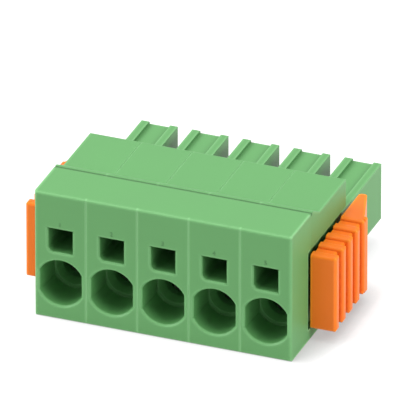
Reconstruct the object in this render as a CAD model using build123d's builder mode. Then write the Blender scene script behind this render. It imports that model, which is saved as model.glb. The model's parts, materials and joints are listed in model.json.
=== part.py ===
from build123d import *
from math import acos, atan2, degrees, hypot, radians, tan
import os

os.makedirs("parts", exist_ok=True)

# Pluggable terminal block with five poles in a row. All lengths are millimetres.
# X runs along the row, wires go in at the front (-Y), the contact fingers point to the back (+Y)
# and Z is up. The origin is the middle of the whole footprint, on the surface it stands on.

# Housing: the wire cover in front, the plug body behind the seam, the fingers behind that
pole_count = 5
pitch = 7.62
housing_height = 19.5
cover_depth = 7.75
body_depth = 13.65
plug_depth = 16.8
rear_step = 1.4
roof_strip = 0.6
ramp_depth = 2.65
edge_round = 0.35
seam_bevel = 0.17
seam_rebate_width = 0.2
seam_rebate_depth = 0.35

# Walls and fits inside the housing
roof_wall = 1.4
rear_wall = 1.2
seat_gap = 0.05

# Wire entries and the release openings above them
entry_height = 5.65
entry_diameter = 7.05
entry_width = 6.25
entry_depth = 5.2
entry_draft = 3.0
conductor_bore = 4.3
funnel_depth = 1.2
funnel_wall = 0.15
release_land = 1.25
release_width = 3.6
release_height = 3.6
release_corner = 0.25
release_soft_corner = 0.8
opening_rim = 0.22
collar_depth = 0.7
collar_wall = 1.0
face_groove_width = 0.36
face_groove_depth = 0.08

# Fingers that plug into the header
finger_width = 5.45
finger_wall = 0.8
finger_floor = 0.9
plug_base = 3.35
plug_height = 8.65
web_depth = 5.8
rib_ledge = 1.15
channel_depth = 0.45
finger_roof = 1.0
end_wall = 1.2
pin_slot_width = 2.0
pin_slot_height = 3.4
pin_slot_bevel = 0.35
roof_line_width = 0.3
roof_line_depth = 0.1

# Recess in each side of the housing and the post that the release lever turns on
recess_depth = 0.75
recess_base = 1.7
recess_cover = 4.25
post_radius = 0.9
post_offset = 0.87
post_setback = 3.2
post_end_gap = 1.6
post_web = 0.8

# Release levers
lever_gap = 0.25
lever_side_gap = 0.25
lever_front_gap = 0.2
lever_lead = 1.05
lever_reach = 4.05
lever_corner = 0.5
lever_edge = 0.3
grip_rear_margin = 1.6
rib_count = 5
rib_thickness = 1.5
rib_edge = 0.45
rib_inset = 0.08
groove_side_depth = 0.9
groove_face_depth = 0.45
tail_depth = 6.1
tail_width = 1.1
tail_round = 0.45
nose_depth = 1.3
nose_reach = 0.5
nose_margin = 2.4
pivot_gap = 0.05
pivot_end_gap = 0.2
pocket_wall = 1.2
tongue_thickness = 0.5
tongue_margin = 1.8
tongue_tip_gap = 0.45
tongue_foot = 0.6

# Current bar with its socket arms
bar_drop = 0.15
bar_thickness = 0.8
bar_setback = 0.6
socket_width = 3.0
socket_root_depth = 4.0
arm_thickness = 0.55
arm_rise = 2.35
arm_end_gap = 0.6
pinch_opening = 0.8
mouth_opening = 1.7
mouth_depth = 2.2

# Steel parts of each clamp
cage_thickness = 0.5
cage_depth = 4.5
cage_corner = 0.45
spring_thickness = 0.4
spring_side_gap = 0.2
spring_bend_radius = 1.2
spring_bend_setback = 2.5
spring_end_gap = 2.6
overspring_thickness = 0.3
overspring_bridge_setback = 0.5
overspring_leg_drop = 1.0

# Shares of the clamp bay's depth where the cage starts and the spring's free leg lands
cage_start_share = 0.36
spring_tip_share = 0.58

# Places along the depth
row_width = pole_count * pitch
half_width = row_width / 2
total_depth = cover_depth + body_depth + plug_depth
front_face = -total_depth / 2
seam = front_face + cover_depth
rear_face = seam + body_depth
finger_end = rear_face + plug_depth
ramp_start = seam + roof_strip
ramp_end = ramp_start + ramp_depth
bay_back = rear_face - rear_wall
bay_depth = bay_back - seam

# Places across the height
rear_height = housing_height - rear_step
bay_ceiling = rear_height - roof_wall
plug_top = plug_base + plug_height
bar_top = entry_height - conductor_bore / 2 - bar_drop
bar_base = bar_top - bar_thickness
cage_base = bar_base - cage_thickness
cage_top = bay_ceiling - seat_gap
bay_floor = cage_base - seat_gap
cavity_floor = plug_base + finger_floor
cavity_ceiling = plug_top - channel_depth - finger_roof
pin_height = plug_base + plug_height / 2
arm_top = pin_height + arm_rise
release_base = entry_height + entry_diameter / 2 + release_land
release_top = release_base + release_height
recess_top = rear_height - recess_cover

# Widths of what nests in one pole
cavity_width = finger_width - 2 * finger_wall
bar_width = cavity_width - 2 * seat_gap
cage_inner_width = bar_width + 2 * seat_gap
cage_width = cage_inner_width + 2 * cage_thickness
bay_width = cage_width + 2 * seat_gap
spring_width = cage_inner_width - 2 * spring_side_gap
plug_width = row_width - pitch + finger_width

# Centres of the poles and the lines between them
pole_places = [(number - (pole_count - 1) / 2) * pitch for number in range(pole_count)]
line_places = [place + pitch / 2 for place in pole_places[:-1]]


# A plane that faces the front at depth y. Its own y axis is the height.
def wall_plane(y):
    return Plane(origin=(0, y, 0), x_dir=(1, 0, 0), z_dir=(0, -1, 0))


# Wire entry seen from the front: a circle with its sides cut off flat
with BuildSketch() as entry_outline:
    Circle(entry_diameter / 2)
    Rectangle(entry_width, entry_diameter, mode=Mode.INTERSECT)

# Release opening seen from the front: square, with one lower corner rounder than the others
with BuildSketch() as release_outline:
    Rectangle(release_width, release_height)
    left_corners = release_outline.vertices().group_by(Axis.X)[0].sort_by(Axis.Y)
    right_corners = release_outline.vertices().group_by(Axis.X)[-1]
    fillet(left_corners[0], release_soft_corner)
    fillet([left_corners[1], *right_corners], release_corner)

# Wire cover: the front of the housing, with a funnel and a release opening for each pole
with BuildPart() as wire_cover:
    with BuildSketch(wall_plane(front_face)):
        with Locations((0, housing_height / 2)):
            Rectangle(row_width, housing_height)
    extrude(amount=-cover_depth)
    fillet(wire_cover.faces().sort_by(Axis.Y)[0].edges(), edge_round)

    # Collar behind each release opening, which keys the cover into the plug body
    collar_base = release_base - collar_wall
    collar_top = bay_ceiling - seat_gap
    with BuildSketch(wall_plane(seam)):
        with Locations(*[(place, (collar_base + collar_top) / 2) for place in pole_places]):
            Rectangle(bay_width - 2 * seat_gap, collar_top - collar_base)
    extrude(amount=-collar_depth)

    with BuildSketch(wall_plane(front_face)):
        with Locations(*[(place, entry_height) for place in pole_places]):
            add(entry_outline.sketch)
    extrude(amount=-entry_depth, taper=entry_draft, mode=Mode.SUBTRACT)

    with BuildSketch(wall_plane(front_face)):
        with Locations(*[(place, (release_base + release_top) / 2) for place in pole_places]):
            add(release_outline.sketch)
    extrude(amount=-(cover_depth + collar_depth), mode=Mode.SUBTRACT)

    rims = [
        edge
        for wire in wire_cover.faces().sort_by(Axis.Y)[0].inner_wires()
        for edge in wire.edges()
    ]
    chamfer(rims, opening_rim)

    # Funnel that leads the bare conductor down to its bore
    funnel_start = front_face + entry_depth
    funnel_end = funnel_start + funnel_depth
    funnel_mouth = entry_width / 2 - funnel_wall - entry_depth * tan(radians(entry_draft))
    for place in pole_places:
        with BuildSketch(Plane.YZ.offset(place)):
            with BuildLine():
                Polyline(
                    (funnel_start, entry_height),
                    (funnel_start, entry_height + funnel_mouth),
                    (funnel_end, entry_height + conductor_bore / 2),
                    (seam, entry_height + conductor_bore / 2),
                    (seam, entry_height),
                    close=True,
                )
            make_face()
        revolve(axis=Axis((place, 0, entry_height), (0, 1, 0)), mode=Mode.SUBTRACT)

    # Vee grooves that divide the front face between the poles
    with BuildSketch(Plane.XY):
        with Locations(*[(place, front_face) for place in line_places]):
            Polygon(
                (-face_groove_width / 2, 0),
                (face_groove_width / 2, 0),
                (0, face_groove_depth),
                align=None,
            )
    extrude(amount=housing_height, mode=Mode.SUBTRACT)

    # Front end of the recess for a release lever in each side
    recess_lead = lever_lead + lever_front_gap
    with BuildSketch(Plane.XY.offset(recess_base)):
        with Locations(*[(side * (half_width - recess_depth / 2), seam - recess_lead / 2) for side in (-1, 1)]):
            Rectangle(recess_depth, recess_lead)
    extrude(amount=recess_top - recess_base, mode=Mode.SUBTRACT)

    # Rebate along the top of the seam
    with BuildSketch(Plane.YZ):
        with Locations((seam, housing_height)):
            Rectangle(2 * seam_rebate_width, 2 * seam_rebate_depth)
    extrude(amount=half_width, both=True, mode=Mode.SUBTRACT)
wire_cover.part.label = "wire_cover"
export_step(wire_cover.part, "parts/wire_cover.step")

# Plug body: the rear of the housing with its sloping roof, and one finger for each pole
with BuildPart() as plug_body:
    with BuildSketch(Plane.YZ):
        with BuildLine():
            Polyline(
                (seam, 0),
                (rear_face, 0),
                (rear_face, rear_height),
                (ramp_end, rear_height),
                (ramp_start, housing_height),
                (seam, housing_height),
                close=True,
            )
        make_face()
    extrude(amount=half_width, both=True)
    roof_edges = [
        edge
        for edge in plug_body.edges().group_by(Axis.Z)[-1]
        if edge.center().Y < ramp_start - roof_strip / 2
    ]
    chamfer(roof_edges, seam_bevel)
    fillet(plug_body.faces().sort_by(Axis.Y)[-1].edges(), edge_round)

    # Block behind the rear face, and the fingers that run on from it
    with BuildSketch(Plane.XY.offset(plug_base)):
        with Locations((0, rear_face + web_depth / 2)):
            Rectangle(plug_width, web_depth)
        with Locations(*[(place, rear_face + plug_depth / 2) for place in pole_places]):
            Rectangle(finger_width, plug_depth)
    extrude(amount=plug_height)
    finger_tips = plug_body.faces().sort_by(Axis.Y)[-pole_count:]
    chamfer([edge for tip in finger_tips for edge in tip.edges()], opening_rim)

    # Channel along the top of each finger, between its two ribs
    with BuildSketch(Plane.XY.offset(plug_top)):
        with Locations(*[(place, rear_face + plug_depth / 2) for place in pole_places]):
            Rectangle(finger_width - 2 * rib_ledge, plug_depth)
    extrude(amount=-channel_depth, mode=Mode.SUBTRACT)

    # Clamp bay of each pole, and the cavity that runs on from it into the finger
    with BuildSketch(wall_plane(seam)):
        with Locations(*[(place, (bay_floor + bay_ceiling) / 2) for place in pole_places]):
            Rectangle(bay_width, bay_ceiling - bay_floor)
    extrude(amount=-bay_depth, mode=Mode.SUBTRACT)
    with BuildSketch(wall_plane(bay_back)):
        with Locations(*[(place, (cavity_floor + cavity_ceiling) / 2) for place in pole_places]):
            Rectangle(cavity_width, cavity_ceiling - cavity_floor)
    extrude(amount=-(finger_end - end_wall - bay_back), mode=Mode.SUBTRACT)

    # Slot in the end of each finger for the header's pin, with its lead-in
    with BuildSketch(wall_plane(finger_end)):
        with Locations(*[(place, pin_height) for place in pole_places]):
            Rectangle(pin_slot_width, pin_slot_height)
    extrude(amount=end_wall + seat_gap, mode=Mode.SUBTRACT)
    slot_rims = [
        edge
        for tip in plug_body.faces().sort_by(Axis.Y)[-pole_count:]
        for wire in tip.inner_wires()
        for edge in wire.edges()
    ]
    chamfer(slot_rims, pin_slot_bevel)

    # Rest of the recess in each side, with the post that the lever turns on
    recess_floor = half_width - recess_depth
    post_place = half_width + post_offset
    pivot_depth = rear_face - post_setback
    post_base = recess_base + post_end_gap
    post_top = recess_top - post_end_gap
    for side in (-1, 1):
        with BuildSketch(Plane.XY.offset(recess_base)):
            with Locations((side * (half_width - recess_depth / 2), (seam + rear_face) / 2)):
                Rectangle(recess_depth, body_depth)
        extrude(amount=recess_top - recess_base, mode=Mode.SUBTRACT)
        with BuildSketch(Plane.XY.offset(post_base)):
            with Locations((side * post_place, pivot_depth)):
                Circle(post_radius)
            with Locations((side * (recess_floor + post_place) / 2, pivot_depth)):
                Rectangle(post_place - recess_floor, post_web)
        extrude(amount=post_top - post_base)

    # Faint lines along the rear roof between the poles
    with BuildSketch(Plane.XZ.offset(-rear_face)):
        with Locations(*[(place, rear_height) for place in line_places]):
            Polygon(
                (-roof_line_width / 2, 0),
                (0, -roof_line_depth),
                (roof_line_width / 2, 0),
                align=None,
            )
    extrude(amount=rear_face - ramp_end, mode=Mode.SUBTRACT)
plug_body.part.label = "plug_body"
export_step(plug_body.part, "parts/plug_body.step")

# Release lever of the right side, drawn from above and from the front
lever_base = recess_base + lever_gap
lever_top = recess_top - lever_gap
lever_height = lever_top - lever_base
lever_middle = (lever_base + lever_top) / 2
lever_front = seam - lever_lead
lever_inside = half_width + lever_side_gap
lever_outside = half_width + lever_reach
grip_end = rear_face - grip_rear_margin
rib_pitch = (grip_end - lever_front - rib_thickness) / (rib_count - 1)
tail_end = grip_end + tail_depth
last_rib_outside = lever_outside - (rib_count - 1) * rib_inset

# One rib of the grip. Three crossing profiles round it from the front, from above and from the side.
with BuildPart() as grip_rib:
    with BuildSketch(wall_plane(lever_front)) as rib_outline:
        with Locations(((lever_inside + lever_outside) / 2, lever_middle)):
            Rectangle(lever_outside - lever_inside, lever_height)
        fillet(rib_outline.vertices().group_by(Axis.X)[-1], lever_corner)
    extrude(amount=-rib_thickness)
    with BuildSketch(Plane.XY.offset(lever_base)) as rib_plan:
        with Locations(((lever_inside + lever_outside) / 2, lever_front + rib_thickness / 2)):
            Rectangle(lever_outside - lever_inside, rib_thickness)
        fillet(rib_plan.vertices().group_by(Axis.X)[-1], rib_edge)
    extrude(amount=lever_height, mode=Mode.INTERSECT)
    with BuildSketch(Plane.YZ.offset(lever_inside)) as rib_side:
        with Locations((lever_front + rib_thickness / 2, lever_middle)):
            Rectangle(rib_thickness, lever_height)
        fillet(rib_side.vertices(), rib_edge)
    extrude(amount=lever_outside - lever_inside, mode=Mode.INTERSECT)

with BuildPart() as latch_right:
    with Locations(*[(-number * rib_inset, number * rib_pitch, 0) for number in range(rib_count)]):
        add(grip_rib.part)

    # Core between the ribs
    core_outside = lever_outside - groove_side_depth
    with BuildSketch(wall_plane(lever_front + rib_thickness / 2)) as core_outline:
        with Locations(((lever_inside + core_outside) / 2, lever_middle)):
            Rectangle(core_outside - lever_inside, lever_height - 2 * groove_face_depth)
        fillet(core_outline.vertices().group_by(Axis.X)[-1], lever_edge)
    extrude(amount=-(grip_end - lever_front - rib_thickness))

    # Tail that tapers to the hook behind the last rib
    tail_start = grip_end - rib_thickness / 2
    with BuildSketch(wall_plane(tail_start)) as tail_outline:
        with Locations(((lever_inside + last_rib_outside) / 2, lever_middle)):
            Rectangle(last_rib_outside - lever_inside, lever_height)
        fillet(tail_outline.vertices().group_by(Axis.X)[-1], lever_edge)
    extrude(amount=-(tail_end - tail_start))

    # Outline from above, which trims the inner side and the tail
    with BuildSketch(Plane.XY.offset(lever_base)) as plan:
        with BuildLine():
            Polyline(
                (lever_inside, lever_front),
                (lever_inside, tail_end),
                (lever_inside + tail_width, tail_end),
                (last_rib_outside - rib_edge, grip_end),
                (lever_outside, grip_end),
                (lever_outside, lever_front),
                close=True,
            )
        make_face()
        fillet(plan.vertices().group_by(Axis.Y)[-1], tail_round)
    extrude(amount=lever_height, mode=Mode.INTERSECT)

    # Nose on the inner side of the tail, which hooks behind the header's side wall
    with BuildSketch(Plane.XY.offset(lever_base + nose_margin)):
        with BuildLine():
            Polyline(
                (lever_inside + tail_round, tail_end - tail_round),
                (lever_inside, tail_end - tail_round),
                (lever_inside - nose_reach, tail_end - tail_round - nose_depth / 2),
                (lever_inside - nose_reach, tail_end - tail_round - nose_depth),
                (lever_inside + tail_round, tail_end - tail_round - nose_depth),
                close=True,
            )
        make_face()
    extrude(amount=lever_height - 2 * nose_margin)

    # Bearing that snaps over the post, closed above and below it
    bearing_base = post_base - pivot_end_gap
    bearing_height = post_top - post_base + 2 * pivot_end_gap
    bearing_radius = post_radius + pivot_gap
    with BuildSketch(Plane.XY.offset(bearing_base)):
        with Locations((post_place, pivot_depth)):
            Circle(bearing_radius)
    extrude(amount=bearing_height, mode=Mode.SUBTRACT)

    # Pocket behind the grip, open towards the body
    pocket_front = lever_front + pocket_wall
    pocket_back = pivot_depth - bearing_radius - pocket_wall
    pocket_outside = core_outside - pocket_wall
    with BuildSketch(Plane.XY.offset(bearing_base)):
        with Locations(((half_width + pocket_outside) / 2, (pocket_front + pocket_back) / 2)):
            Rectangle(pocket_outside - half_width, pocket_back - pocket_front)
    extrude(amount=bearing_height, mode=Mode.SUBTRACT)

    # Spring tongue that pushes the grip away from the body, drawn as it stands when pressed
    tongue_tip = recess_floor + tongue_tip_gap
    tongue_end = (pocket_front + pocket_back) / 2
    with BuildSketch(Plane.XY.offset(bearing_base + tongue_margin)):
        with BuildLine():
            Polyline(
                (pocket_outside, pocket_back + tongue_foot),
                (pocket_outside - tongue_foot, pocket_back + tongue_foot),
                (pocket_outside - tongue_foot, pocket_back - tongue_foot),
                (tongue_tip, tongue_end),
                (tongue_tip + tongue_thickness, tongue_end),
                (pocket_outside, pocket_back - tongue_foot),
                close=True,
            )
        make_face()
    extrude(amount=bearing_height - 2 * tongue_margin)
latch_right.part.label = "latch_right"
export_step(latch_right.part, "parts/latch_right.step")

# The left lever is the right one mirrored
with BuildPart() as latch_left:
    mirror(latch_right.part, about=Plane.YZ)
latch_left.part.label = "latch_left"
export_step(latch_left.part, "parts/latch_left.step")

# Current bar of one pole: a flat bar in the clamp bay, bent up behind it to the floor of the socket,
# with two socket arms folded up from that floor
bar_start = seam + bar_setback
bar_end = bay_back - seat_gap
socket_base = cavity_floor + seat_gap
socket_floor = socket_base + bar_thickness
socket_start = bay_back
socket_root_end = socket_start + socket_root_depth
arm_end = finger_end - end_wall - arm_end_gap
pinch_place = arm_end - mouth_depth
arm_inside = socket_width / 2 - arm_thickness

with BuildPart() as contact:
    with BuildSketch(Plane.XY.offset(bar_base)):
        with Locations((0, (bar_start + bar_end) / 2)):
            Rectangle(bar_width, bar_end - bar_start)
    extrude(amount=bar_thickness)
    with BuildSketch(Plane.XY.offset(bar_base)):
        with Locations((0, bar_end - bar_thickness / 2)):
            Rectangle(bar_width, bar_thickness)
    extrude(amount=socket_floor - bar_base)
    with BuildSketch(Plane.XY.offset(socket_base)):
        with Locations((0, (bar_end + socket_root_end) / 2)):
            Rectangle(socket_width, socket_root_end - bar_end)
    extrude(amount=bar_thickness)
    with BuildSketch(Plane.XY.offset(socket_base)):
        with BuildLine():
            Polyline(
                (arm_inside, socket_start),
                (arm_inside, socket_root_end),
                (pinch_opening / 2, pinch_place),
                (mouth_opening / 2, arm_end),
                (mouth_opening / 2 + arm_thickness, arm_end),
                (pinch_opening / 2 + arm_thickness, pinch_place),
                (arm_inside + arm_thickness, socket_root_end),
                (arm_inside + arm_thickness, socket_start),
                close=True,
            )
        make_face()
        mirror(about=Plane.YZ)
    extrude(amount=arm_top - socket_base)

# Steel spring over the socket arms: a bridge across the top and a leaf outside each arm
over_inside = socket_width / 2 + seat_gap
over_start = socket_start + overspring_bridge_setback
over_base = socket_floor + overspring_leg_drop
over_bridge = arm_top + seat_gap
over_pinch = pinch_opening / 2 + arm_thickness + seat_gap

with BuildPart() as overspring:
    with BuildSketch(Plane.XY.offset(over_bridge)):
        with Locations((0, (over_start + socket_root_end) / 2)):
            Rectangle(2 * (over_inside + overspring_thickness), socket_root_end - over_start)
    extrude(amount=overspring_thickness)
    with BuildSketch(Plane.XY.offset(over_base)):
        with BuildLine():
            Polyline(
                (over_inside, over_start),
                (over_inside, socket_root_end),
                (over_pinch, pinch_place),
                (over_pinch + overspring_thickness, pinch_place),
                (over_inside + overspring_thickness, socket_root_end),
                (over_inside + overspring_thickness, over_start),
                close=True,
            )
        make_face()
        mirror(about=Plane.YZ)
    extrude(amount=over_bridge - over_base)

# Clamp cage: a bent steel frame around the bar and the spring
cage_start = seam + cage_start_share * bay_depth

with BuildPart() as clamp_cage:
    with BuildSketch(wall_plane(cage_start)) as cage_outline:
        with Locations((0, (cage_base + cage_top) / 2)):
            Rectangle(cage_width, cage_top - cage_base)
        fillet(cage_outline.vertices(), cage_corner)
        with Locations((0, (bar_base + cage_top - cage_thickness) / 2)):
            Rectangle(cage_inner_width, cage_top - cage_thickness - bar_base, mode=Mode.SUBTRACT)
    extrude(amount=-cage_depth)

# Clamp spring: one leg under the top of the cage, a bend, and a free leg down to the bar
fixed_leg_height = cage_top - cage_thickness - seat_gap - spring_thickness / 2
bend_place = seam + spring_bend_setback
bend_height = fixed_leg_height - spring_bend_radius
tip_place = seam + spring_tip_share * bay_depth
tip_height = bar_top + seat_gap + spring_thickness
tip_run = tip_place - bend_place
tip_drop = bend_height - tip_height
leg_angle = atan2(tip_drop, tip_run) + acos(spring_bend_radius / hypot(tip_run, tip_drop))
leg_turn = 270 - degrees(leg_angle)

with BuildPart() as clamp_spring:
    with BuildSketch(Plane.YZ):
        with BuildLine():
            fixed_leg = Line(
                (bay_back - spring_end_gap, fixed_leg_height),
                (bend_place, fixed_leg_height),
            )
            bend = JernArc(
                start=fixed_leg @ 1,
                tangent=fixed_leg % 1,
                radius=spring_bend_radius,
                arc_size=leg_turn,
            )
            Line(bend @ 1, (tip_place, tip_height))
            offset(amount=spring_thickness / 2, side=Side.BOTH)
        make_face()
    extrude(amount=spring_width / 2, both=True)

# One of each inner piece in every pole
for piece, name in (
    (contact.part, "contact"),
    (overspring.part, "overspring"),
    (clamp_cage.part, "clamp_cage"),
    (clamp_spring.part, "clamp_spring"),
):
    for number, place in enumerate(pole_places, start=1):
        with BuildPart() as fitted:
            with Locations((place, 0, 0)):
                add(piece)
        fitted.part.label = f"{name}_{number}"
        export_step(fitted.part, f"parts/{name}_{number}.step")
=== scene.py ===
import json
from math import cos, pi, radians, sin

import bpy
from mathutils import Matrix, Vector


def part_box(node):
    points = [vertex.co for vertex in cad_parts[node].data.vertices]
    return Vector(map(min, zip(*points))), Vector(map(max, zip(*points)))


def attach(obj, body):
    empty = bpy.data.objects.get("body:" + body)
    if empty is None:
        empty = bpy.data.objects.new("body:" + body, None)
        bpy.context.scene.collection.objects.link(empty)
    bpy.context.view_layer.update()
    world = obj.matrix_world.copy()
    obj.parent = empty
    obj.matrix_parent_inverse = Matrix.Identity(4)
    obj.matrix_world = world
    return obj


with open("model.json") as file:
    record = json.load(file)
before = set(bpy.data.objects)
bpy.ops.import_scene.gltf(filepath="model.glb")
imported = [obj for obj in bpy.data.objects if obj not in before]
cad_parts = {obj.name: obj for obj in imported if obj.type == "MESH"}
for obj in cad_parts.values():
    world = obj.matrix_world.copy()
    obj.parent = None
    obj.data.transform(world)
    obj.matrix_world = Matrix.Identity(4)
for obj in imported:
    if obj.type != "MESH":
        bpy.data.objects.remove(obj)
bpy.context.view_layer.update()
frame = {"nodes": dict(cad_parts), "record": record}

# Pluggable terminal block: green moulded housing, two orange release levers, plated inner parts.
# Lengths are metres, and MM turns a length in millimetres into metres.
# Openness is what an Ambient Occlusion node gives, from 0 to 1. A pair of limits for it says where a
# shading has its full strength and where it ends.
MM = 0.001

# Camera: a long lens far away, at the photograph's angle, moved sideways and up in its own plane
CAMERA_AZIMUTH = radians(21.2)
CAMERA_ELEVATION = radians(28.2)
CAMERA_DISTANCE = 2522 * MM
CAMERA_NEAREST = CAMERA_DISTANCE / 10
CAMERA_FARTHEST = CAMERA_DISTANCE * 2
CAMERA_TARGET = Vector((0, 0, 9.9 * MM))
CAMERA_LENS = 1600
CAMERA_SENSOR = 36
CAMERA_SIDESTEP = -1.186 * MM
CAMERA_RAISE = 1.478 * MM

# Housing plastic, with the colours of its painted edge highlight and painted crevice shade
HOUSING_COLOUR = (0.109, 0.323, 0.104)
HOUSING_EDGE_HIGHLIGHT_COLOUR = (0.225, 0.515, 0.217)
HOUSING_CREVICE_SHADE_COLOUR = (0.006, 0.052, 0.005)
HOUSING_ROUGHNESS = (0.42, 0.52)
HOUSING_IOR = 1.45

# Lever plastic, with the colours of its painted edge highlight and painted crevice shade
LEVER_COLOUR = (0.949, 0.190, 0.014)
LEVER_EDGE_HIGHLIGHT_COLOUR = (0.970, 0.280, 0.014)
LEVER_CREVICE_SHADE_COLOUR = (0.220, 0.018, 0.001)
LEVER_ROUGHNESS = (0.34, 0.44)
LEVER_IOR = 1.32

# Metals inside. The stretch says how long the draw marks are on each axis: a small number is long.
PLATING_COLOUR = (0.560, 0.540, 0.500)
PLATING_ROUGHNESS = (0.28, 0.42)
PLATING_STRETCH = (1, 0.08, 1)
STEEL_COLOUR = (0.420, 0.420, 0.430)
STEEL_ROUGHNESS = (0.25, 0.38)
STEEL_STRETCH = (0.08, 1, 1)
MARK_SIZE = 0.12 * MM
MARK_DETAIL = 4.0
MARK_DEPTH = 0.003 * MM
MARK_STRENGTH = 0.4
CLOUD_SIZE = 1.5 * MM
CLOUD_SHADES = (0.88, 1.08)

# Texture of moulded surfaces
PATCH_SIZE = 7 * MM
PATCH_SHADES = (0.97, 1.03)
SPECK_SIZE = 0.25 * MM
SPECK_DETAIL = 4.0
SPECK_SHADE = 1.15
SPECK_SHARE = 0.12
SPECK_NOISE_LIMITS = (0.62, 0.78)
GRAIN_SIZE = 0.09 * MM
GRAIN_DETAIL = 3.0
GRAIN_HEIGHT = 0.004 * MM
GRAIN_STRENGTH = 0.5

# Rounded look of outer edges, and a painted highlight on them in a pale colour. In a cavity the
# painted highlight fades.
EDGE_RADIUS = 0.14 * MM
EDGE_SAMPLES = 6
EDGE_REACH = 0.42 * MM
EDGE_LIMITS = (0.65, 0.97)
EDGE_CAVITY_LIMITS = (0.60, 0.85)

# Painted shade: a dark colour in grooves and cavities. The darkest is the share of the plain colour
# that is kept.
REACH_SAMPLES = 8
GROOVE_REACH = 0.45 * MM
GROOVE_DARKEST = 0.35
GROOVE_LIMITS = (0.25, 0.6)
CAVITY_REACH = 5 * MM
CAVITY_DARKEST = 0.74
CAVITY_LIMITS = (0.3, 0.97)

# Lines between the poles on the front and on the roof, painted as highlights along their whole
# width.
# The roof's begin at a share of the body's height, on faces that look up further than the tilt.
POLE_LINE_WIDTH = 0.46 * MM
POLE_LINE_BLUR = 0.15 * MM
POLE_LINE_STRENGTH = 0.75
ROOF_LINE_SHARE = 0.55
ROOF_FROM_SHARE = 0.8
ROOF_TILT = 0.3

# Seam between the cover and the body: a painted shadow line, this high at the cover's top, no
# painted edge highlights close to the seam, and fainter ones behind it
SEAM_HALF_WIDTH = 0.20 * MM
SEAM_HEIGHT = 0.40 * MM
SEAM_KEPT_LIGHT = 0.48
SEAM_PLAIN_EDGE = 0.55 * MM
REAR_EDGE_SHARE = 0.45

# Pole numbers above the release openings
NUMBER_COLOUR = (0.078, 0.235, 0.076)
NUMBER_HEIGHT = 0.95 * MM
NUMBER_RISE = 9.2 * MM
NUMBER_THICKNESS = 0.03 * MM

# Studio. To the eye the floor is mostly its own glow, called the lift. A painted contact shadow
# darkens that glow where the object is in reach on the side to which the lean points.
WORLD_STRENGTH = 0.28
FLOOR_SIZE = 1.6
FLOOR_ALBEDO = 0.85
FLOOR_SEEN_ALBEDO = 0.20
FLOOR_LIFT = 0.97
CONTACT_LEAN = (-0.75, -0.15, 0.64)
CONTACT_REACH = 5 * MM
CONTACT_SAMPLES = 16
CONTACT_DARKEST = 0.36
CONTACT_LIMITS = (0.2, 0.95)
LAMPS = (
    # name, azimuth and elevation in degrees, distance, size, power in watts
    ("top_softbox", 0, 85, 0.55, 0.40, 1.75),
    ("right_softbox", 80, 30, 0.60, 0.35, 2.00),
    ("left_softbox", -80, 35, 0.60, 0.35, 2.63),
    ("front_left_softbox", -40, 30, 0.60, 0.35, 0.38),
)


def direction(azimuth, elevation):
    """Unit vector from the object to a viewer, with angles in radians counted as the camera's."""
    return Vector((
        sin(azimuth) * cos(elevation),
        -cos(azimuth) * cos(elevation),
        sin(elevation),
    ))


def aim(thing, place, target):
    """Puts a camera or a lamp at a place, looking at the target."""
    turn = (target - place).to_track_quat("-Z", "Y")
    thing.matrix_world = Matrix.Translation(place) @ turn.to_matrix().to_4x4()


def put(tree, kind, inputs=None, **settings):
    """Adds a node. Each input takes a plain value, or the output of another node to link to."""
    made = tree.nodes.new(kind)
    for name, value in settings.items():
        setattr(made, name, value)
    for name, value in (inputs or {}).items():
        if isinstance(value, bpy.types.NodeSocket):
            tree.links.new(value, made.inputs[name])
        else:
            made.inputs[name].default_value = value
    return made


def mix_colours(tree, factor, low, high):
    """Output of a colour mix that goes from low to high with the factor."""
    mix = put(tree, "ShaderNodeMix", {0: factor, 6: low, 7: high}, data_type="RGBA")
    return mix.outputs[2]


def map_range(tree, value, low, high, from_low=0.0, from_high=1.0):
    """Output that maps the value from one range to another."""
    mapped = put(
        tree,
        "ShaderNodeMapRange",
        {
            "Value": value,
            "From Min": from_low,
            "From Max": from_high,
            "To Min": low,
            "To Max": high,
        },
    )
    return mapped.outputs["Result"]


def calculate(tree, operation, *values):
    """Output of a Math node, with a plain value or another node's output for each of its terms."""
    return put(tree, "ShaderNodeMath", dict(enumerate(values)), operation=operation).outputs[0]


def multiply(tree, first, second):
    """Output of the product of two values."""
    return calculate(tree, "MULTIPLY", first, second)


def largest(tree, first, second):
    """Output of the larger of two values."""
    return calculate(tree, "MAXIMUM", first, second)


def greater(tree, first, second):
    """Output that is 1 where the first value is greater than the second, and 0 elsewhere."""
    return calculate(tree, "GREATER_THAN", first, second)


def noise(tree, place, size, detail=2.0):
    """Output of a noise whose patches are about that size in metres."""
    made = put(tree, "ShaderNodeTexNoise", {"Vector": place, "Scale": 1 / size, "Detail": detail})
    return made.outputs[0]


def openness(tree, reach, inside=False):
    """Output of 1 on open surface and less in crevices, or by outer edges if it looks inside."""
    made = put(
        tree,
        "ShaderNodeAmbientOcclusion",
        {"Distance": reach},
        samples=REACH_SAMPLES,
        inside=inside,
        only_local=True,
    )
    return made.outputs["AO"]


def wire_entries():
    """The mounts of the wire entries, from left to right."""
    mounts = frame["record"]["mounts"]
    return [mount for mount in mounts if mount["name"].startswith("wire_entry")]


def seam_place():
    """Where the cover ends and the body begins, from the end of the first wire entry's bore."""
    entry = wire_entries()[0]
    return entry["pos_m"][1] + entry["dims"]["length_mm"] * MM / 2


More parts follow.
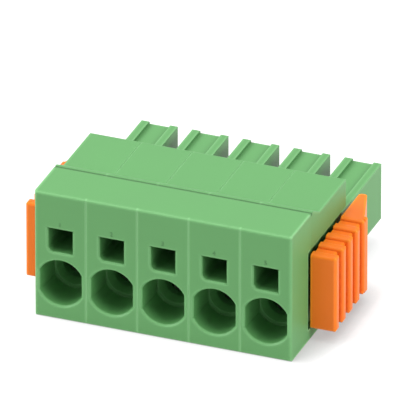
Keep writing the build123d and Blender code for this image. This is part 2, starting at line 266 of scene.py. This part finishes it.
def pole_lines(tree, place):
    """Two outputs above 0 only on lines between the poles, which get a painted highlight: one for
    the front, one for the roof.
    """
    centres = [entry["pos_m"][0] for entry in wire_entries()]
    pitch = centres[1] - centres[0]
    axes = put(tree, "ShaderNodeSeparateXYZ", {"Vector": place}).outputs
    along = calculate(tree, "SUBTRACT", axes["X"], centres[0] + pitch / 2)
    off_line = calculate(tree, "PINGPONG", along, pitch / 2)
    half = POLE_LINE_WIDTH / 2
    on_line = map_range(tree, off_line, POLE_LINE_STRENGTH, 0, half - POLE_LINE_BLUR, half)
    from_middle = calculate(tree, "ABSOLUTE", axes["X"])
    everywhere = multiply(tree, on_line, greater(tree, centres[-1], from_middle))

    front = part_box("wire_cover")[0].y + POLE_LINE_WIDTH
    on_front = greater(tree, front, axes["Y"])

    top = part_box("plug_body")[1].z * ROOF_FROM_SHARE
    normal = put(tree, "ShaderNodeNewGeometry").outputs["True Normal"]
    tilt = put(tree, "ShaderNodeSeparateXYZ", {"Vector": normal}).outputs["Z"]
    on_roof = multiply(tree, greater(tree, axes["Z"], top), greater(tree, tilt, ROOF_TILT))
    on_roof = multiply(tree, on_roof, greater(tree, axes["Y"], seam_place()))
    return multiply(tree, everywhere, on_front), multiply(tree, everywhere, on_roof)


def off_seam(tree, place):
    """Two outputs: the share of painted edge highlight that stays, and 0 on the painted shadow line
    and 1 off it.
    """
    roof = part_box("wire_cover")[1].z - SEAM_HEIGHT
    axes = put(tree, "ShaderNodeSeparateXYZ", {"Vector": place}).outputs
    behind = calculate(tree, "SUBTRACT", axes["Y"], seam_place())
    distance = calculate(tree, "ABSOLUTE", behind)
    rear_share = map_range(tree, greater(tree, behind, 0), 1, REAR_EDGE_SHARE)
    kept_edges = multiply(tree, greater(tree, distance, SEAM_PLAIN_EDGE), rear_share)
    beside_line = greater(tree, distance, SEAM_HALF_WIDTH)
    return kept_edges, largest(tree, beside_line, greater(tree, roof, axes["Z"]))


def shade(colour, factor=1):
    """The colour with its light scaled, as red, green, blue and alpha."""
    return (*[channel * factor for channel in colour], 1)


def new_material(name):
    """An empty node material, its tree and its output node."""
    material = bpy.data.materials.new(name)
    material.use_nodes = True
    tree = material.node_tree
    tree.nodes.clear()
    return material, tree, put(tree, "ShaderNodeOutputMaterial")


def moulded_plastic(name, colour, edge_highlight_colour, crevice_shade_colour, roughness, ior, housing=False):
    """Moulded plastic with faint patches, specks and grain, painted highlights on outer edges and
    painted shade in crevices.

    The housing's has painted highlights on the pole lines and a painted shadow line at the seam as
    well.
    """
    material, tree, output = new_material(name)
    place = put(tree, "ShaderNodeTexCoord").outputs["Object"]

    patches = noise(tree, place, PATCH_SIZE)
    specks = noise(tree, place, SPECK_SIZE, SPECK_DETAIL)
    speckled = map_range(tree, specks, 0, SPECK_SHARE, *SPECK_NOISE_LIMITS)
    shades = [shade(colour, factor) for factor in PATCH_SHADES]
    body = mix_colours(tree, patches, *shades)
    body = mix_colours(tree, speckled, body, shade(colour, SPECK_SHADE))

    by_edge = openness(tree, EDGE_REACH, inside=True)
    in_groove = openness(tree, GROOVE_REACH)
    in_cavity = openness(tree, CAVITY_REACH)
    # Painted highlight on outer edges, faded in cavities
    edges = multiply(
        tree,
        map_range(tree, by_edge, 1, 0, *EDGE_LIMITS),
        map_range(tree, in_cavity, 0, 1, *EDGE_CAVITY_LIMITS),
    )
    # Painted shade in cavities and grooves, as the share of the plain colour that is kept
    light = multiply(
        tree,
        map_range(tree, in_cavity, CAVITY_DARKEST, 1, *CAVITY_LIMITS),
        map_range(tree, in_groove, GROOVE_DARKEST, 1, *GROOVE_LIMITS),
    )
    if housing:
        # The pole lines get painted highlight and lose painted shade, and the seam gets a painted
        # shadow line
        kept_edges, off_seam_shadow_line = off_seam(tree, place)
        front_line_highlights, roof_line_highlights = pole_lines(tree, place)
        edges = largest(tree, multiply(tree, edges, kept_edges), front_line_highlights)
        edges = largest(tree, edges, multiply(tree, roof_line_highlights, ROOF_LINE_SHARE))
        light = largest(tree, largest(tree, light, front_line_highlights), roof_line_highlights)
        light = multiply(tree, light, map_range(tree, off_seam_shadow_line, SEAM_KEPT_LIGHT, 1))
    # Painted highlight first, then painted shade, mixed into the colour
    body = mix_colours(tree, edges, body, shade(edge_highlight_colour))
    body = mix_colours(tree, light, shade(crevice_shade_colour), body)

    bevel = put(tree, "ShaderNodeBevel", {"Radius": EDGE_RADIUS}, samples=EDGE_SAMPLES)
    bump = put(
        tree,
        "ShaderNodeBump",
        {
            "Strength": GRAIN_STRENGTH,
            "Distance": GRAIN_HEIGHT,
            "Height": noise(tree, place, GRAIN_SIZE, GRAIN_DETAIL),
            "Normal": bevel.outputs["Normal"],
        },
    )
    shader = put(
        tree,
        "ShaderNodeBsdfPrincipled",
        {
            "Base Color": body,
            "Roughness": map_range(tree, patches, *roughness),
            "Normal": bump.outputs["Normal"],
            "IOR": ior,
        },
    )
    tree.links.new(shader.outputs[0], output.inputs["Surface"])
    return material


def drawn_metal(name, colour, roughness, stretch):
    """Bare or plated metal with fine draw marks and faint clouds."""
    material, tree, output = new_material(name)
    place = put(tree, "ShaderNodeTexCoord").outputs["Object"]
    drawn = put(tree, "ShaderNodeMapping", {"Vector": place, "Scale": stretch}).outputs["Vector"]
    marks = noise(tree, drawn, MARK_SIZE, MARK_DETAIL)
    clouds = noise(tree, place, CLOUD_SIZE)
    shades = [shade(colour, factor) for factor in CLOUD_SHADES]
    bump = put(
        tree,
        "ShaderNodeBump",
        {"Strength": MARK_STRENGTH, "Distance": MARK_DEPTH, "Height": marks},
    )
    shader = put(
        tree,
        "ShaderNodeBsdfPrincipled",
        {
            "Base Color": mix_colours(tree, clouds, *shades),
            "Metallic": 1.0,
            "Roughness": map_range(tree, marks, *roughness),
            "Normal": bump.outputs["Normal"],
        },
    )
    tree.links.new(shader.outputs[0], output.inputs["Surface"])
    return material


def white_to_the_eye(tree):
    """Output of 1 for rays that come from the camera, a gloss or a pane, and 0 for lighting."""
    path = put(tree, "ShaderNodeLightPath").outputs
    direct_or_gloss = largest(tree, path["Is Camera Ray"], path["Is Glossy Ray"])
    return largest(tree, direct_or_gloss, path["Is Transmission Ray"])


def make_world():
    """Even white surroundings: a plain level as light, and white where they are seen."""
    world = bpy.data.worlds.new("studio")
    world.use_nodes = True
    tree = world.node_tree
    tree.nodes.clear()
    strength = map_range(tree, white_to_the_eye(tree), WORLD_STRENGTH, 1.0)
    background = put(
        tree, "ShaderNodeBackground", {"Color": (1, 1, 1, 1), "Strength": strength}
    )
    output = put(tree, "ShaderNodeOutputWorld")
    tree.links.new(background.outputs[0], output.inputs["Surface"])
    bpy.context.scene.world = world


def make_floor():
    """Plain white floor that keeps the object's shadow, and a painted shadow where the object stands
    on it.

    From below it is see-through.
    """
    half = FLOOR_SIZE / 2
    mesh = bpy.data.meshes.new("floor")
    corners = [(x, y, 0) for x, y in ((-half, -half), (half, -half), (half, half), (-half, half))]
    mesh.from_pydata(corners, [], [(0, 1, 2, 3)])
    floor = bpy.data.objects.new("floor", mesh)
    bpy.context.scene.collection.objects.link(floor)

    material, tree, output = new_material("floor_white")
    seen = white_to_the_eye(tree)
    albedo = map_range(tree, seen, FLOOR_ALBEDO, FLOOR_SEEN_ALBEDO)
    diffuse = put(tree, "ShaderNodeBsdfDiffuse", {"Color": albedo})
    lean = put(tree, "ShaderNodeCombineXYZ", dict(zip("XYZ", CONTACT_LEAN))).outputs[0]
    # Painted contact shadow: occlusion found along the lean darkens the floor's glow
    contact = put(
        tree,
        "ShaderNodeAmbientOcclusion",
        {"Distance": CONTACT_REACH, "Normal": lean},
        samples=CONTACT_SAMPLES,
    )
    off_painted_contact_shadow = map_range(tree, contact.outputs["AO"], CONTACT_DARKEST, 1, *CONTACT_LIMITS)
    glow = multiply(tree, map_range(tree, seen, 0, FLOOR_LIFT), off_painted_contact_shadow)
    lift = put(tree, "ShaderNodeEmission", {"Strength": glow})
    both = put(tree, "ShaderNodeAddShader", {0: diffuse.outputs[0], 1: lift.outputs[0]})
    one_sided = put(
        tree,
        "ShaderNodeMixShader",
        {
            0: put(tree, "ShaderNodeNewGeometry").outputs["Backfacing"],
            1: both.outputs[0],
            2: put(tree, "ShaderNodeBsdfTransparent").outputs[0],
        },
    )
    tree.links.new(one_sided.outputs[0], output.inputs["Surface"])
    mesh.materials.append(material)


def make_lamps():
    """Large soft lamps round the object."""
    for name, azimuth, elevation, distance, size, power in LAMPS:
        lamp = bpy.data.lights.new(name, "AREA")
        lamp.shape = "DISK"
        lamp.size = size
        lamp.energy = power
        holder = bpy.data.objects.new(name, lamp)
        bpy.context.scene.collection.objects.link(holder)
        away = direction(radians(azimuth), radians(elevation)) * distance
        aim(holder, CAMERA_TARGET + away, CAMERA_TARGET)


def make_camera():
    """The photograph's viewpoint."""
    camera = bpy.data.cameras.new("camera")
    camera.lens = CAMERA_LENS
    camera.sensor_width = CAMERA_SENSOR
    camera.clip_start = CAMERA_NEAREST
    camera.clip_end = CAMERA_FARTHEST
    holder = bpy.data.objects.new("camera", camera)
    bpy.context.scene.collection.objects.link(holder)
    back = direction(CAMERA_AZIMUTH, CAMERA_ELEVATION)
    across = Vector((cos(CAMERA_AZIMUTH), sin(CAMERA_AZIMUTH), 0))
    step = across * CAMERA_SIDESTEP + back.cross(across) * CAMERA_RAISE
    aim(holder, CAMERA_TARGET + back * CAMERA_DISTANCE + step, CAMERA_TARGET + step)
    bpy.context.scene.camera = holder


def make_pole_numbers(material):
    """A small raised number on the cover above each release opening."""
    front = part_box("wire_cover")[0].y
    for number, entry in enumerate(wire_entries(), start=1):
        words = bpy.data.curves.new(f"number_{number}", "FONT")
        words.body = str(number)
        words.size = NUMBER_HEIGHT
        words.extrude = NUMBER_THICKNESS
        words.align_x = "CENTER"
        words.align_y = "CENTER"
        draft = bpy.data.objects.new(f"draft_{number}", words)
        bpy.context.scene.collection.objects.link(draft)
        bpy.context.view_layer.update()
        scene_state = bpy.context.evaluated_depsgraph_get()
        mesh = bpy.data.meshes.new_from_object(draft.evaluated_get(scene_state))
        bpy.data.objects.remove(draft)
        bpy.data.curves.remove(words)

        x, _, z = entry["pos_m"]
        upright = Matrix.Rotation(pi / 2, 4, "X")
        mesh.transform(Matrix.Translation((x, front, z + NUMBER_RISE)) @ upright)
        piece = bpy.data.objects.new(f"pole_number_{number}", mesh)
        bpy.context.scene.collection.objects.link(piece)
        mesh.materials.clear()
        mesh.materials.append(material)
        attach(piece, "housing")


finishes = {
    "housing": moulded_plastic(
        "green_plastic",
        HOUSING_COLOUR,
        HOUSING_EDGE_HIGHLIGHT_COLOUR,
        HOUSING_CREVICE_SHADE_COLOUR,
        HOUSING_ROUGHNESS,
        HOUSING_IOR,
        housing=True,
    ),
    "lever": moulded_plastic(
        "orange_plastic",
        LEVER_COLOUR,
        LEVER_EDGE_HIGHLIGHT_COLOUR,
        LEVER_CREVICE_SHADE_COLOUR,
        LEVER_ROUGHNESS,
        LEVER_IOR,
    ),
    "contact_metal": drawn_metal(
        "plated_copper", PLATING_COLOUR, PLATING_ROUGHNESS, PLATING_STRETCH
    ),
    "spring_steel": drawn_metal("spring_steel", STEEL_COLOUR, STEEL_ROUGHNESS, STEEL_STRETCH),
}
number_plastic = moulded_plastic(
    "number_green",
    NUMBER_COLOUR,
    NUMBER_COLOUR,
    HOUSING_CREVICE_SHADE_COLOUR,
    HOUSING_ROUGHNESS,
    HOUSING_IOR,
)
for part in frame["record"]["subparts"]:
    frame["nodes"][part["node"]].material_slots[0].material = finishes[part["material_slot"]]

make_pole_numbers(number_plastic)
make_world()
make_floor()
make_lamps()
make_camera()

bpy.context.scene.view_settings.view_transform = "Standard"
